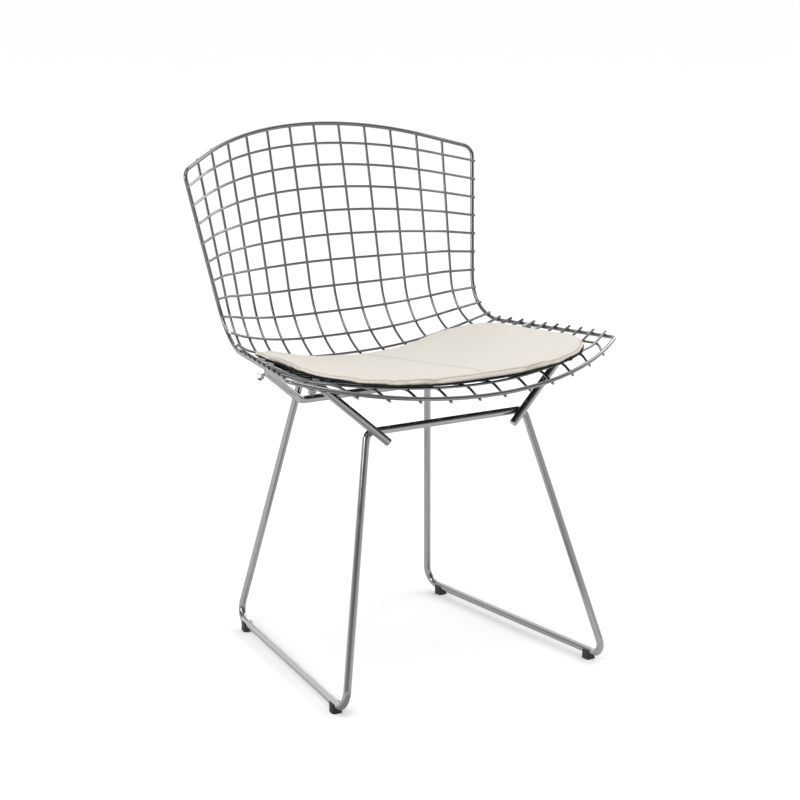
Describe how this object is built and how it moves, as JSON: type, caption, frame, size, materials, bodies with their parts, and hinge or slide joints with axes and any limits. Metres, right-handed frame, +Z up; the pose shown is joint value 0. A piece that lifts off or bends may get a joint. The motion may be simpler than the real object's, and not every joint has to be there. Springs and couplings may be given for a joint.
{
  "type": "wire mesh side chair",
  "caption": "Side chair with a dished seat and back of welded chromed wire on a bent rod base, with a loose leather seat pad.",
  "frame": {"origin": "on the floor, midway along the chair's width and depth", "axes": "+Z up, -Y the way the sitter faces, +X the sitter's left hand side"},
  "size_m": [0.5454, 0.5719, 0.7633],
  "materials": {
    "chrome_rod": "polished chrome plate",
    "chrome_wire": "polished chrome plate over welded wire",
    "zinc_hardware": "zinc plated",
    "dark_hardware": "black oxide",
    "black_glide": "matt black nylon",
    "pad_leather": "smooth ivory leather",
    "pad_backing": "black non-woven backing",
    "pad_foam": "upholstery foam",
    "clip_plastic": "moulded nylon"
  },
  "bodies": {
    "chair": {"cross_wire_01": "chrome_wire", "cross_wire_02": "chrome_wire", "cross_wire_03": "chrome_wire", "cross_wire_04": "chrome_wire", "cross_wire_05": "chrome_wire", "cross_wire_06": "chrome_wire", "cross_wire_07": "chrome_wire", "cross_wire_08": "chrome_wire", "cross_wire_09": "chrome_wire", "cross_wire_10": "chrome_wire", "cross_wire_11": "chrome_wire", "cross_wire_12": "chrome_wire", "cross_wire_13": "chrome_wire", "cross_wire_14": "chrome_wire", "cross_wire_15": "chrome_wire", "cross_wire_16": "chrome_wire", "cross_wire_17": "chrome_wire", "cross_wire_18": "chrome_wire", "cross_wire_19": "chrome_wire", "cross_wire_20": "chrome_wire", "floor_glides": "black_glide", "front_bar": "chrome_rod", "front_strut_left": "chrome_rod", "front_strut_right": "chrome_rod", "long_wire_01": "chrome_wire", "long_wire_02": "chrome_wire", "long_wire_03": "chrome_wire", "long_wire_04": "chrome_wire", "long_wire_05": "chrome_wire", "long_wire_06": "chrome_wire", "long_wire_07": "chrome_wire", "long_wire_08": "chrome_wire", "long_wire_09": "chrome_wire", "long_wire_10": "chrome_wire", "long_wire_11": "chrome_wire", "long_wire_12": "chrome_wire", "mount_bolts": "dark_hardware", "mount_clips": "zinc_hardware", "mount_nuts": "zinc_hardware", "mount_washers": "zinc_hardware", "rear_u_bar": "chrome_rod", "rim_rod": "chrome_wire", "side_frame_left": "chrome_rod", "side_frame_right": "chrome_rod"},
    "pad": {"pad_bottom_panel": "pad_backing", "pad_clips": "clip_plastic", "pad_foam": "pad_foam", "pad_side_band": "pad_leather", "pad_top_panel": "pad_leather"}
  },
  "joints": [
    {"name": "seat_pad_lift", "type": "slide", "parent": "chair", "child": "pad", "axis": [0, 0, 1], "range_m": [0, 0.1]}
  ]
}
